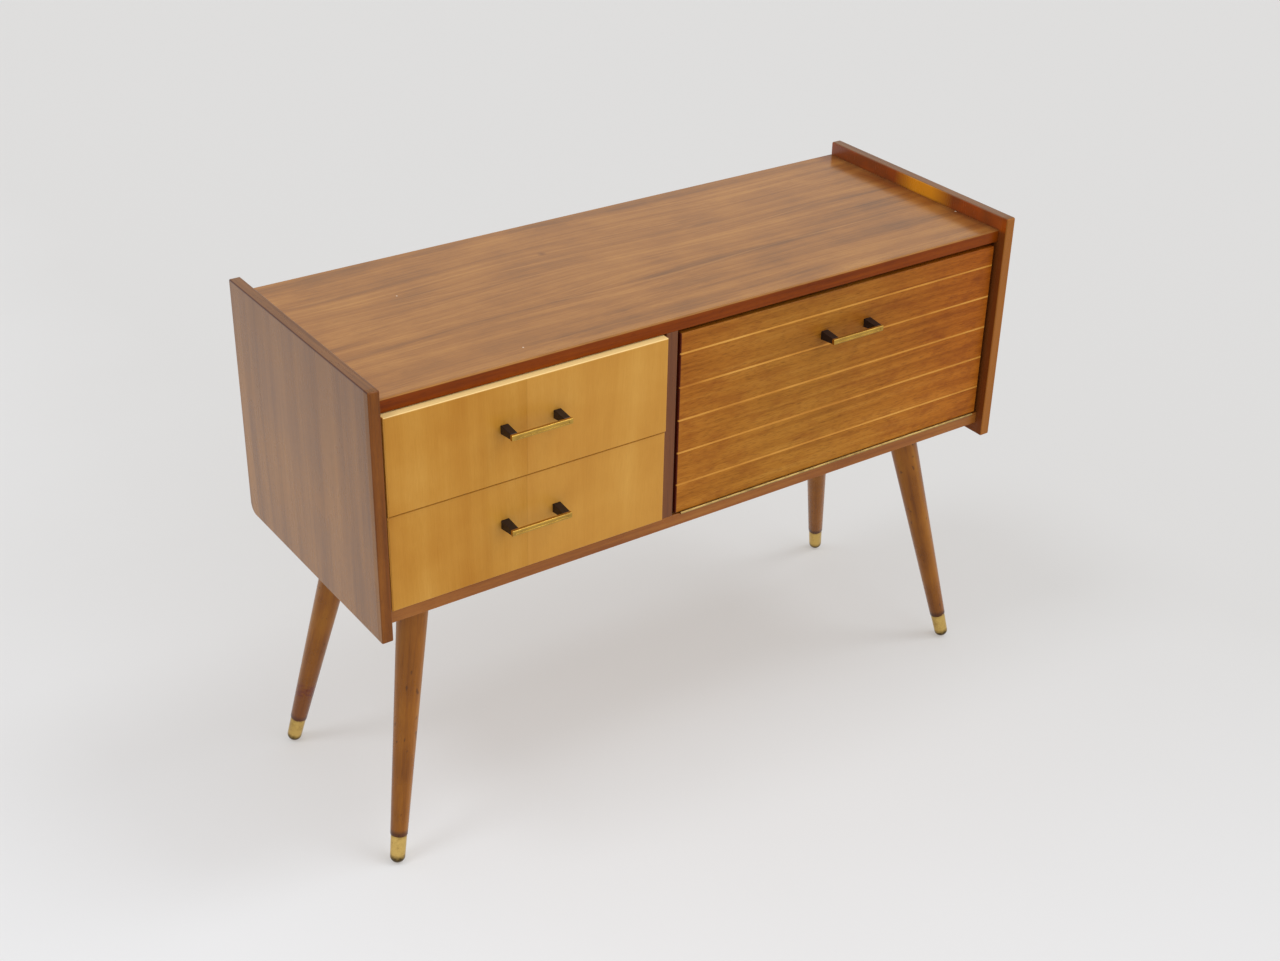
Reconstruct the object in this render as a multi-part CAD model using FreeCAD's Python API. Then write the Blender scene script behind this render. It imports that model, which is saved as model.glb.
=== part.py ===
import FreeCAD, Part
import math
import os

from FreeCAD import Placement, Rotation, Vector

# A small cabinet on four splayed legs, with two drawers at the left and a drop-front flap at the right.
# X runs along the width, the front faces -Y and Z is up. The origin is on the floor, under the middle
# of the whole cabinet, handles included. All sizes are in millimetres.

# Carcass: two tall side panels, with top, bottom and partition set back between them
cabinet_width = 800.0
side_thickness = 12.0
side_depth = 302.0
side_rise = 16.0
side_drop = 13.0
side_back_radius = 12.0
side_corner_radius = 2.0
side_lipping_depth = 8.0
leg_height = 308.0
top_thickness = 13.5
bottom_thickness = 14.0
panel_lipping_depth = 3.0
opening_height = 214.5
carcass_setback = 11.0
drawer_bay_width = 323.0
partition_thickness = 14.0

# Back panel, let into a rebate
back_thickness = 4.0
back_recess = 1.0
back_lap = 6.0
back_clearance = 0.3

# Dowels of the carcass joints
dowel_radius = 3.0
dowel_length = 24.0
dowel_shallow_end = 8.0
dowel_clearance = 0.05
dowel_end_room = 0.5
dowel_inset = 35.0
dowel_count = 3

# Drawer fronts and boxes
drawer_side_gap = 3.0
drawer_top_gap = 1.0
drawer_seam = 1.2
drawer_floor_gap = 3.0
upper_drawer_proud = 8.4
lower_drawer_proud = 6.5
drawer_front_thickness = 18.0
drawer_edge_chamfer = 1.0
drawer_side_thickness = 10.0
drawer_side_drop = 6.0
drawer_side_lift = 2.0
drawer_back_thickness = 10.0
drawer_back_drop = 4.0
drawer_back_housing = 3.0
drawer_back_gap = 8.0
drawer_bottom_thickness = 4.0
drawer_bottom_lift = 7.0
drawer_bottom_groove = 4.0
drawer_bottom_clearance = 0.1

# Lapped dovetails between drawer sides and fronts
tail_count = 4
tail_width = 12.0
tail_length = 12.0
tail_slope = 7.0

# Runner battens, which carry the drawers in grooves of their sides
runner_height = 10.0
runner_groove_depth = 5.0
runner_clearance = 0.25
runner_end_clearance = 0.4
runner_stop_gap = 0.3
runner_back_gap = 2.0
runner_screw_inset = 40.0
runner_screw_bite = 8.0

# Flap with inlaid lines
flap_thickness = 12.0
flap_side_gap = 4.0
flap_top_gap = 4.7
flap_edge_chamfer = 0.8
inlay_count = 5
inlay_pitch = 38.0
inlay_lowest = 33.5
inlay_width = 2.0
inlay_depth = 1.2

# Piano hinge
hinge_leaf_thickness = 0.7
hinge_leaf_gap = 0.3
hinge_leaf_margin = 0.5
hinge_knuckle_radius = 1.3
hinge_knuckle_count = 21
hinge_knuckle_gap = 0.2
hinge_notch_clearance = 0.3
hinge_front_clearance = 0.2
hinge_end_inset = 5.5
hinge_pin_radius = 0.5
hinge_pin_clearance = 0.15
hinge_screw_count = 8
hinge_screw_inset = 20.0
hinge_screw_length = 9.0

# Screws: countersunk ones in wood, and pan heads under the handles and leg plates
wood_screw_radius = 1.4
wood_screw_head_radius = 2.6
screw_clearance = 0.05
screw_end_room = 0.5
handle_screw_radius = 2.0
handle_screw_bite = 12.0
handle_screw_head_radius = 4.0
handle_screw_head_height = 2.2

# Bar handles
bar_length = 68.4
bar_height = 6.0
bar_thickness = 3.5
bar_edge_chamfer = 0.6
bar_groove_width = 2.0
bar_groove_depth = 0.6
bar_groove_end = 4.0
handle_projection = 22.0
post_base_width = 9.0
post_base_height = 9.6
post_front_width = 8.0
post_front_height = 6.2
drawer_handle_rise = 6.0
drawer_handle_shift = -2.4
flap_handle_drop = 47.8
flap_handle_shift = 3.3

# Splayed legs with brass ferrules
leg_side_inset = 64.5
leg_front_inset = 65.0
leg_back_inset = 80.0
leg_splay_x = 62.0
leg_splay_y = 51.5
leg_top_radius = 17.0
leg_end_radius = 9.2
ferrule_height = 32.5
ferrule_top_radius = 8.6
ferrule_end_radius = 8.0
ferrule_dome_height = 4.5
ferrule_dome_steps = 4
ferrule_wall = 0.8
ferrule_clearance = 0.05
ferrule_floor = 5.5
foot_flat_depth = 0.25

# Angled leg plates with their bolts and screws
leg_plate_size = 58.0
leg_plate_thickness = 2.5
leg_plate_corner = 8.0
leg_plate_lip = 0.5
leg_bolt_radius = 4.0
leg_bolt_bite = 40.0
leg_bolt_clearance = 0.05
plate_screw_inset = 7.0
plate_screw_bite = 9.0
plate_screw_head_radius = 3.4
plate_screw_head_height = 1.8

# Magnetic catch under the top, and its strike plate on the flap
strike_width = 36.0
strike_height = 12.0
strike_thickness = 1.2
strike_top_inset = 2.0
catch_air_gap = 0.3
catch_width = 44.0
catch_height = 13.0
catch_depth = 16.0
catch_wall = 2.0
catch_plate_thickness = 1.0
catch_plate_proud = 0.5

# Slotted stay between flap and right side panel
stay_reach = 120.0
stay_pivot_offset = 7.3
stay_closed_angle = 10.0
flap_open_angle = 90.0
stay_wall_distance = 14.0
stay_bar_width = 12.0
stay_bar_thickness = 2.0
stay_side_gap = 0.2
stud_radius = 3.0
stud_slot_clearance = 0.3
stud_collar_radius = 4.5
stud_flange_radius = 8.0
stud_flange_thickness = 2.0
stud_head_radius = 5.0
stud_head_thickness = 2.0
stud_tail_radius = 2.0
stud_tail_length = 8.0
bracket_thickness = 1.5
bracket_width = 14.0
bracket_height = 28.0
bracket_ear_thickness = 2.0
bracket_ear_radius = 6.0
rivet_radius = 2.5
rivet_clearance = 0.1
rivet_head_radius = 4.5
rivet_head_thickness = 1.2

# Flat sides that stand for a round skin, so that the many fasteners stay light
fastener_sides = 6
hinge_sides = 12
stay_sides = 16
turned_sides = 24

# Planes of the carcass that follow from its sizes
drawer_proud = max(upper_drawer_proud, lower_drawer_proud)
overall_depth = side_depth + handle_projection + drawer_proud - carcass_setback
y_back = overall_depth / 2
y_side_front = y_back - side_depth
y_side_core = y_side_front + side_lipping_depth
y_front = y_side_front + carcass_setback
y_core = y_front + panel_lipping_depth
y_rebate = y_back - back_recess - back_thickness
x_inner = cabinet_width / 2 - side_thickness
x_bay_left = -x_inner
x_bay_right = x_bay_left + drawer_bay_width
x_flap_bay = x_bay_right + partition_thickness
z_bottom = leg_height
z_floor = z_bottom + bottom_thickness
z_ceiling = z_floor + opening_height
z_top = z_ceiling + top_thickness
z_side_low = z_bottom - side_drop
z_side_high = z_top + side_rise

# Planes of the flap and its hinge axis, which runs just in front of the flap's lower edge
x_flap_left = x_flap_bay + flap_side_gap
x_flap_right = x_inner - flap_side_gap
x_flap_middle = (x_flap_left + x_flap_right) / 2
y_axis = y_front - hinge_knuckle_radius - hinge_front_clearance
z_axis = z_floor + hinge_leaf_thickness + hinge_leaf_gap / 2
y_flap_inner = y_front + flap_thickness
z_flap_low = z_axis + hinge_leaf_gap / 2 + hinge_leaf_thickness
z_flap_high = z_ceiling - flap_top_gap

# Planes of the drawers
drawer_left = x_bay_left + drawer_side_gap
drawer_right = x_bay_right - drawer_side_gap
drawer_middle = (drawer_left + drawer_right) / 2
drawer_front_height = (opening_height - drawer_top_gap - drawer_seam - drawer_floor_gap) / 2
drawer_box_height = drawer_front_height - drawer_side_drop - drawer_side_lift
y_drawer_end = y_rebate - drawer_back_gap
z_lower_drawer = z_floor + drawer_floor_gap
z_upper_drawer = z_lower_drawer + drawer_front_height + drawer_seam
drawer_places = {
    "upper": (z_upper_drawer, y_front - upper_drawer_proud),
    "lower": (z_lower_drawer, y_front - lower_drawer_proud),
}

pieces = {}


def block(x0, x1, y0, y1, z0, z1):
    return Part.makeBox(x1 - x0, y1 - y0, z1 - z0, Vector(x0, y0, z0))


def turned(corners, sides, base, axis):
    """Turn (radius, height) corners about an axis that starts at base, with flat sides for the skin."""
    turns = [2 * math.pi * index / sides for index in range(sides)]
    rings = []
    for radius, height in corners:
        rings.append([Vector(radius * math.cos(turn), radius * math.sin(turn), height) for turn in turns])
    outlines = [rings[0], rings[-1]]
    for low, high in zip(rings, rings[1:]):
        for index in range(sides):
            outlines.append([low[index - 1], low[index], high[index], high[index - 1]])
    faces = [Part.Face(Part.makePolygon(points + points[:1])) for points in outlines]
    shape = Part.makeSolid(Part.makeShell(faces))
    shape.Placement = Placement(base, Rotation(Vector(0, 0, 1), axis))
    return shape


def rod(radius, start, end, sides):
    return turned([(radius, 0), (radius, (end - start).Length)], sides, start, end - start)


def rounded_outline(corners):
    """A closed wire of square corners, each a point with its own radius."""
    edges = []
    previous_leave = None
    first_arrive = None
    for index, (point, radius) in enumerate(corners):
        before = (corners[index - 1][0] - point).normalize()
        after = (corners[(index + 1) % len(corners)][0] - point).normalize()
        arrive = point + before * radius
        leave = point + after * radius
        if previous_leave is not None:
            edges.append(Part.LineSegment(previous_leave, arrive).toShape())
        else:
            first_arrive = arrive
        if radius > 0:
            centre = arrive + after * radius
            crown = centre - (before + after).normalize() * radius
            edges.append(Part.Arc(arrive, crown, leave).toShape())
        previous_leave = leave
    edges.append(Part.LineSegment(previous_leave, first_arrive).toShape())
    return Part.Wire(edges)


def rectangle(centre, across, upward, radius):
    """A rounded rectangle about centre, with its half sizes as two vectors."""
    corners = [
        centre - across - upward,
        centre + across - upward,
        centre + across + upward,
        centre - across + upward,
    ]
    return rounded_outline([(corner, radius) for corner in corners])


def strip(start, end, half_width, thickness):
    """A flat bar with round ends between two points of one X plane."""
    along = (end - start).normalize() * half_width
    across = Vector(0, -along.z, along.y)
    edges = [
        Part.LineSegment(start + across, end + across).toShape(),
        Part.Arc(end + across, end + along, end - across).toShape(),
        Part.LineSegment(end - across, start - across).toShape(),
        Part.Arc(start - across, start - along, start + across).toShape(),
    ]
    return Part.Face(Part.Wire(edges)).extrude(Vector(thickness, 0, 0))


def break_edges(shape, width, y):
    """Chamfer the edges of a board that lie in its front plane."""
    edges = [edge for edge in shape.Edges if all(abs(v.Y - y) < 1e-6 for v in edge.Vertexes)]
    return shape.makeChamfer(width, edges)


def spread(low, high, count):
    """Evenly spaced values from low to high, ends included."""
    return [low + (high - low) * index / (count - 1) for index in range(count)]


def countersunk_screw(head, axis, length, grow=0.0):
    """A wood screw whose head is flush at the given point; grown a little, it is its own hole."""
    shank = wood_screw_radius + grow
    wide = wood_screw_head_radius + grow
    tip = length + grow
    return turned([(wide, 0), (shank, wide - shank), (shank, tip)], fastener_sides, head, axis)


def pan_screw(seat, axis, length, shank, head_radius, head_height):
    """A screw whose flat-backed, chamfered head stands on the given seat."""
    chamfer = head_height / 2
    corners = [
        (head_radius - chamfer, -head_height),
        (head_radius, -chamfer),
        (head_radius, 0),
        (shank, 0),
        (shank, length),
    ]
    return turned(corners, fastener_sides, seat, axis)


def screw_bore(seat, axis, length, shank):
    return rod(shank + screw_clearance, seat, seat + axis * (length + screw_end_room), fastener_sides)


# Dowels: shallow in the face that each one meets, deep in the end grain of the other board
def dowel(joint, outward, radius, room):
    start = joint - outward * (dowel_length - dowel_shallow_end + room)
    return rod(radius, start, joint + outward * (dowel_shallow_end + room), fastener_sides)


dowel_joints = []
for y in spread(y_front + dowel_inset, y_rebate - dowel_inset, dowel_count):
    for side in (-1, 1):
        for z in (z_bottom + bottom_thickness / 2, z_ceiling + top_thickness / 2):
            dowel_joints.append((Vector(side * x_inner, y, z), Vector(side, 0, 0)))
    x_partition = (x_bay_right + x_flap_bay) / 2
    dowel_joints.append((Vector(x_partition, y, z_floor), Vector(0, 0, -1)))
    dowel_joints.append((Vector(x_partition, y, z_ceiling), Vector(0, 0, 1)))
pieces["panel_dowels"] = [dowel(*joint, dowel_radius, 0) for joint in dowel_joints]
dowel_holes = [dowel(*joint, dowel_radius + dowel_clearance, dowel_end_room) for joint in dowel_joints]

# Runner battens: a pair for each drawer, screwed to the left side panel and to the partition
runner_reach = drawer_side_gap + runner_groove_depth - runner_end_clearance
runner_screws = []
runner_screw_holes = []
for level, (z_drawer, y_face) in drawer_places.items():
    y_start = y_face + drawer_front_thickness + runner_stop_gap
    y_end = y_rebate - runner_back_gap
    z_runner = z_drawer + drawer_side_lift + drawer_box_height / 2
    for name, x_wall, inward in (("left", x_bay_left, 1), ("right", x_bay_right, -1)):
        x_face = x_wall + inward * runner_reach
        low = Vector(min(x_wall, x_face), y_start, z_runner - runner_height / 2)
        batten = Part.makeBox(runner_reach, y_end - y_start, runner_height, low)
        for y in (y_start + runner_screw_inset, y_end - runner_screw_inset):
            place = (Vector(x_face, y, z_runner), Vector(-inward, 0, 0), runner_reach + runner_screw_bite)
            hole = countersunk_screw(*place, grow=screw_clearance)
            batten = batten.cut(hole)
            runner_screws.append(countersunk_screw(*place))
            runner_screw_holes.append(hole)
        pieces[level + "_" + name + "_runner"] = batten
pieces["runner_screws"] = runner_screws

# Piano hinge: two leaves with interleaved knuckles on one pin, each leaf screwed down with flush heads
hinge_left = x_flap_left + hinge_end_inset
hinge_right = x_flap_right - hinge_end_inset
hinge_length = hinge_right - hinge_left
knuckle_pitch = hinge_length / hinge_knuckle_count
y_leaf_end = y_flap_inner - hinge_leaf_margin
y_leaf_screws = (y_front + y_leaf_end) / 2
hinge_screw_rows = spread(hinge_left + hinge_screw_inset, hinge_right - hinge_screw_inset, hinge_screw_count)
pin_start = Vector(hinge_left, y_axis, z_axis)
pin_end = Vector(hinge_right, y_axis, z_axis)
pieces["hinge_pin"] = Part.makeCylinder(hinge_pin_radius, hinge_length, pin_start, Vector(1, 0, 0))
pin_bore = rod(hinge_pin_radius + hinge_pin_clearance, pin_start, pin_end, fastener_sides)
hinge_screw_holes = {}
for name, first_knuckle, up in (("fixed", 0, -1), ("moving", 1, 1)):
    z_face = z_axis + up * hinge_leaf_gap / 2
    z_seat = z_face + up * hinge_leaf_thickness
    leaf = block(hinge_left, hinge_right, y_axis, y_leaf_end, min(z_face, z_seat), max(z_face, z_seat))
    knuckles = []
    notches = []
    for index in range(hinge_knuckle_count):
        x0 = hinge_left + index * knuckle_pitch
        x1 = x0 + knuckle_pitch
        half_gap = hinge_knuckle_gap / 2
        if index % 2 == first_knuckle:
            ends = [Vector(x0 + half_gap, y_axis, z_axis), Vector(x1 - half_gap, y_axis, z_axis)]
            knuckles.append(rod(hinge_knuckle_radius, *ends, hinge_sides))
        else:
            y_notch = y_axis + hinge_knuckle_radius + hinge_notch_clearance
            notches.append(block(x0 - half_gap, x1 + half_gap, y_axis, y_notch, z_floor, z_flap_low))
    places = [(Vector(x, y_leaf_screws, z_face), Vector(0, 0, up)) for x in hinge_screw_rows]
    screws = [countersunk_screw(head, axis, hinge_screw_length) for head, axis in places]
    holes = [countersunk_screw(head, axis, hinge_screw_length, screw_clearance) for head, axis in places]
    pieces["hinge_" + name + "_leaf"] = leaf.cut(notches).fuse(knuckles).cut([pin_bore] + holes)
    pieces["hinge_" + name + "_screws"] = screws
    hinge_screw_holes[name] = holes

# Legs: turned tapers bolted to angled plates, each foot a spigot in a domed brass ferrule
dome_radius = (ferrule_end_radius**2 + ferrule_dome_height**2) / (2 * ferrule_dome_height)
dome_reach = math.asin(ferrule_end_radius / dome_radius)
ferrule_high = ferrule_height - dome_radius
spigot_low = ferrule_floor - dome_radius
spigot_gap = ferrule_wall + ferrule_clearance
z_plate = z_bottom - leg_plate_thickness
x_leg_head = x_inner - leg_side_inset
leg_plates = []
leg_bolts = []
plate_screws = []
plate_screw_holes = []


def ferrule(foot, upward):
    """A tapered brass cup with a domed end, worn flat where it stands on the floor."""
    corners = []
    for step in range(1, ferrule_dome_steps + 1):
        turn = dome_reach * step / ferrule_dome_steps
        corners.append((dome_radius * math.sin(turn), -dome_radius * math.cos(turn)))
    corners.append((ferrule_top_radius, ferrule_high))
    corners.append((ferrule_top_radius - ferrule_wall, ferrule_high))
    corners.append((ferrule_end_radius - ferrule_wall, spigot_low))
    floor_low = Vector(foot.x - leg_top_radius, foot.y - leg_top_radius, -leg_top_radius)
    floor = Part.makeBox(2 * leg_top_radius, 2 * leg_top_radius, leg_top_radius, floor_low)
    return turned(corners, turned_sides, foot, upward).cut(floor)


leg_rows = (("front", -1, y_front + leg_front_inset), ("back", 1, y_back - leg_back_inset))
for end_name, end, y_head in leg_rows:
    for side_name, side in (("left", -1), ("right", 1)):
        corner_name = end_name + "_" + side_name
        head = Vector(side * x_leg_head, y_head, z_bottom)
        splay = Vector(side * leg_splay_x, end * leg_splay_y, 0)
        foot = Vector(head.x + splay.x, head.y + splay.y, dome_radius - foot_flat_depth)
        upward = (head - foot).normalize()
        lean = math.acos(upward.z)
        z_leg_top = z_plate - leg_plate_lip - leg_top_radius * math.sin(lean)
        leg_length = (z_leg_top - foot.z) / upward.z
        leg_top = foot + upward * leg_length

        leg = turned(
            [
                (ferrule_end_radius - spigot_gap, spigot_low),
                (ferrule_top_radius - spigot_gap, ferrule_high),
                (leg_end_radius, ferrule_high),
                (leg_top_radius, leg_length),
            ],
            turned_sides,
            foot,
            upward,
        )
        bolt_low = leg_top - upward * leg_bolt_bite
        bolt_rise = z_bottom - screw_end_room - leg_bolt_radius * math.sin(lean) - z_leg_top
        bolt_high = leg_top + upward * (bolt_rise / upward.z)
        bore_radius = leg_bolt_radius + leg_bolt_clearance
        bolt_bore = rod(bore_radius, bolt_low, bolt_high + upward * leg_plate_size, fastener_sides)
        pieces[corner_name + "_leg"] = leg.cut(bolt_bore)
        pieces[corner_name + "_ferrule"] = ferrule(foot, upward)
        leg_bolts.append(rod(leg_bolt_radius, bolt_low, bolt_high, fastener_sides))

        half = leg_plate_size / 2
        centre = Vector(head.x, head.y, z_plate)
        outline = rectangle(centre, Vector(half, 0, 0), Vector(0, half, 0), leg_plate_corner)
        plate = Part.Face(outline).extrude(Vector(0, 0, leg_plate_thickness))
        boss = rod(leg_top_radius, leg_top, leg_top + upward * leg_plate_size, turned_sides)
        above = block(head.x - leg_plate_size, head.x + leg_plate_size, head.y - leg_plate_size,
                      head.y + leg_plate_size, z_plate, z_plate + 2 * leg_plate_size)
        plate = plate.fuse(boss.cut(above)).cut(bolt_bore)
        for x_sign in (-1, 1):
            for y_sign in (-1, 1):
                offset = half - plate_screw_inset
                seat = centre + Vector(x_sign * offset, y_sign * offset, 0)
                drive = (seat, Vector(0, 0, 1), leg_plate_thickness + plate_screw_bite, wood_screw_radius)
                plate_screws.append(pan_screw(*drive, plate_screw_head_radius, plate_screw_head_height))
                plate_screw_holes.append(screw_bore(*drive))
        leg_plates.append(plate.cut(plate_screw_holes[-4:]))
pieces["leg_plates"] = leg_plates
pieces["leg_bolts"] = leg_bolts
pieces["leg_plate_screws"] = plate_screws

# Stay: pivot and stud lie equally far from the hinge axis, so the bar turns by half the flap's angle
x_stay = x_inner - stay_wall_distance
x_ear = x_stay - stay_bar_thickness - stay_side_gap
pivot_tilt = math.asin((y_flap_inner + stay_pivot_offset - y_axis) / stay_reach)
stud_tilt = pivot_tilt + math.radians(stay_closed_angle)


def on_stay_circle(x, tilt):
    """A point at the stay's reach from the hinge axis, leaning back from straight above it."""
    return Vector(x, y_axis + stay_reach * math.sin(tilt), z_axis + stay_reach * math.cos(tilt))


def stay_span(angle):
    """Distance from pivot to stud when they stand this far apart round the hinge axis."""
    return 2 * stay_reach * math.sin(math.radians(angle) / 2)


pivot = on_stay_circle(x_stay, pivot_tilt)
along_bar = (on_stay_circle(x_stay, stud_tilt) - pivot).normalize()
slot_low = pivot + along_bar * stay_span(stay_closed_angle)
slot_high = pivot + along_bar * stay_span(stay_closed_angle + flap_open_angle)
stay_bar = strip(pivot, slot_high, stay_bar_width / 2, -stay_bar_thickness)
slot = strip(slot_low, slot_high, stud_radius + stud_slot_clearance, -stay_bar_thickness)
hole_end = pivot - Vector(stay_bar_thickness, 0, 0)
rivet_hole = rod(rivet_radius + rivet_clearance, pivot, hole_end, stay_sides)
pieces["stay_bar"] = stay_bar.cut([slot, rivet_hole])

stud_steps = [
    (stud_tail_radius, x_inner + stud_tail_length, x_inner),
    (stud_flange_radius, x_inner, x_inner - stud_flange_thickness),
    (stud_collar_radius, x_inner - stud_flange_thickness, x_stay + stay_side_gap),
    (stud_radius, x_stay + stay_side_gap, x_ear),
    (stud_head_radius, x_ear, x_ear - stud_head_thickness),
]
stud_rods = []
for radius, x_from, x_to in stud_steps:
    step_ends = [on_stay_circle(x, stud_tilt) for x in (x_from, x_to)]
    stud_rods.append(rod(radius, *step_ends, stay_sides))
pieces["stay_stud"] = stud_rods[0].fuse(stud_rods[1:])
stud_seat = on_stay_circle(x_inner, stud_tilt)
stud_hole_end = stud_seat + Vector(stud_tail_length + screw_end_room, 0, 0)
stud_hole = rod(stud_tail_radius + screw_clearance, stud_seat, stud_hole_end, stay_sides)

bracket_plate = block(
    x_ear - bracket_width,
    x_ear,
    y_flap_inner,
    y_flap_inner + bracket_thickness,
    pivot.z - bracket_height / 2,
    pivot.z + bracket_height / 2,
)
ear_low = Vector(x_ear - bracket_ear_thickness, y_flap_inner, pivot.z - bracket_ear_radius)
ear = Part.makeBox(bracket_ear_thickness, pivot.y - y_flap_inner, 2 * bracket_ear_radius, ear_low)
x_rivet = x_stay + stay_side_gap
eye_steps = [
    (bracket_ear_radius, ear_low.x, x_ear),
    (rivet_radius, x_ear, x_rivet),
    (rivet_head_radius, x_rivet, x_rivet + rivet_head_thickness),
]
eye_rods = []
for radius, x_from, x_to in eye_steps:
    step_ends = [on_stay_circle(x, pivot_tilt) for x in (x_from, x_to)]
    eye_rods.append(rod(radius, *step_ends, stay_sides))
pieces["stay_bracket"] = bracket_plate.fuse([ear] + eye_rods).removeSplitter()

# Side panels: veneered boards with a solid lipping at the front and a rounded corner low at the back
rebate = block(
    -x_inner - back_lap, x_inner + back_lap, y_rebate, y_back, z_floor - back_lap, z_ceiling + back_lap
)
for name, side, extra_holes in (("left", -1, runner_screw_holes), ("right", 1, [stud_hole])):
    x_outer = side * cabinet_width / 2
    inward = Vector(-side * side_thickness, 0, 0)
    board_corners = [
        (Vector(x_outer, y_side_core, z_side_low), 0),
        (Vector(x_outer, y_back, z_side_low), side_back_radius),
        (Vector(x_outer, y_back, z_side_high), side_corner_radius),
        (Vector(x_outer, y_side_core, z_side_high), 0),
    ]
    lipping_corners = [
        (Vector(x_outer, y_side_front, z_side_low), side_corner_radius),
        (Vector(x_outer, y_side_core, z_side_low), 0),
        (Vector(x_outer, y_side_core, z_side_high), 0),
        (Vector(x_outer, y_side_front, z_side_high), side_corner_radius),
    ]
    board = Part.Face(rounded_outline(board_corners)).extrude(inward)
    lipping = Part.Face(rounded_outline(lipping_corners)).extrude(inward)
    pieces[name + "_side_panel"] = board.cut([rebate] + dowel_holes + extra_holes)
    pieces[name + "_side_lipping"] = lipping

# Top, bottom and partition between the sides, each with a thin lipping on its front edge
bottom_holes = plate_screw_holes + hinge_screw_holes["fixed"]
flat_boards = {
    "top": ("top_panel", -x_inner, x_inner, y_back, z_ceiling, z_top, []),
    "bottom": ("bottom_panel", -x_inner, x_inner, y_back, z_bottom, z_floor, bottom_holes),
    "partition": ("partition", x_bay_right, x_flap_bay, y_rebate, z_floor, z_ceiling, runner_screw_holes),
}
for name, (board_name, x0, x1, y1, z0, z1, holes) in flat_boards.items():
    board = block(x0, x1, y_core, y1, z0, z1)
    lipping = block(x0, x1, y_front, y_core, z0, z1)
    pieces[board_name] = board.cut([rebate] + dowel_holes + holes)
    pieces[name + "_lipping"] = lipping.cut(holes) if holes else lipping

# Back panel: a thin board in the rebates of sides, top and bottom
pieces["back_panel"] = block(
    -x_inner - back_lap + back_clearance,
    x_inner + back_lap - back_clearance,
    y_rebate,
    y_rebate + back_thickness,
    z_floor - back_lap + back_clearance,
    z_ceiling + back_lap - back_clearance,
)


def add_handle(owner, x_middle, y_face, z_middle, backing):
    """A grooved brass bar on two tapered posts, screwed on from behind; returns the screw holes."""
    y_bar = y_face - handle_projection
    y_post = y_bar + bar_thickness
    x0 = x_middle - bar_length / 2
    x1 = x_middle + bar_length / 2
    z0 = z_middle - bar_height / 2
    z1 = z_middle + bar_height / 2
    section = [
        Vector(x0, y_post, z0),
        Vector(x0, y_post, z1),
        Vector(x0, y_bar + bar_edge_chamfer, z1),
        Vector(x0, y_bar, z1 - bar_edge_chamfer),
        Vector(x0, y_bar, z0 + bar_edge_chamfer),
        Vector(x0, y_bar + bar_edge_chamfer, z0),
    ]
    bar = Part.Face(Part.makePolygon(section + section[:1])).extrude(Vector(bar_length, 0, 0))
    groove = block(
        x0 + bar_groove_end,
        x1 - bar_groove_end,
        y_bar,
        y_bar + bar_groove_depth,
        z_middle - bar_groove_width / 2,
        z_middle + bar_groove_width / 2,
    )
    pieces[owner + "_handle_bar"] = bar.cut(groove)

    posts = []
    screws = []
    holes = []
    for side in (-1, 1):
        x_post = x_middle + side * (bar_length - post_base_width) / 2
        post = Part.makeWedge(
            x_post - post_front_width / 2,
            y_post,
            z_middle - post_front_height / 2,
            z_middle - post_base_height / 2,
            x_post - post_base_width / 2,
            x_post + post_front_width / 2,
            y_face,
            z_middle + post_front_height / 2,
            z_middle + post_base_height / 2,
            x_post + post_base_width / 2,
        )
        seat = Vector(x_post, y_face + backing, z_middle)
        drive = (seat, Vector(0, -1, 0), backing + handle_screw_bite)
        hole = screw_bore(*drive, handle_screw_radius)
        holes.append(hole)
        posts.append(post.cut(hole))
        head = (handle_screw_radius, handle_screw_head_radius, handle_screw_head_height)
        screws.append(pan_screw(*drive, *head))
    pieces[owner + "_handle_posts"] = posts
    pieces[owner + "_handle_screws"] = screws
    return holes


def dovetails(x0, y_shoulder, z_low):
    """Tails at the front end of a drawer side, spread over its height."""
    pitch = drawer_box_height / tail_count
    flare = tail_length / tail_slope
    tails = []
    for index in range(tail_count):
        z = z_low + pitch * (index + 0.5)
        outline = [
            Vector(x0, y_shoulder, z - tail_width / 2),
            Vector(x0, y_shoulder - tail_length, z - tail_width / 2 - flare),
            Vector(x0, y_shoulder - tail_length, z + tail_width / 2 + flare),
            Vector(x0, y_shoulder, z + tail_width / 2),
        ]
        face = Part.Face(Part.makePolygon(outline + outline[:1]))
        tails.append(face.extrude(Vector(drawer_side_thickness, 0, 0)))
    return tails


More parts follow.
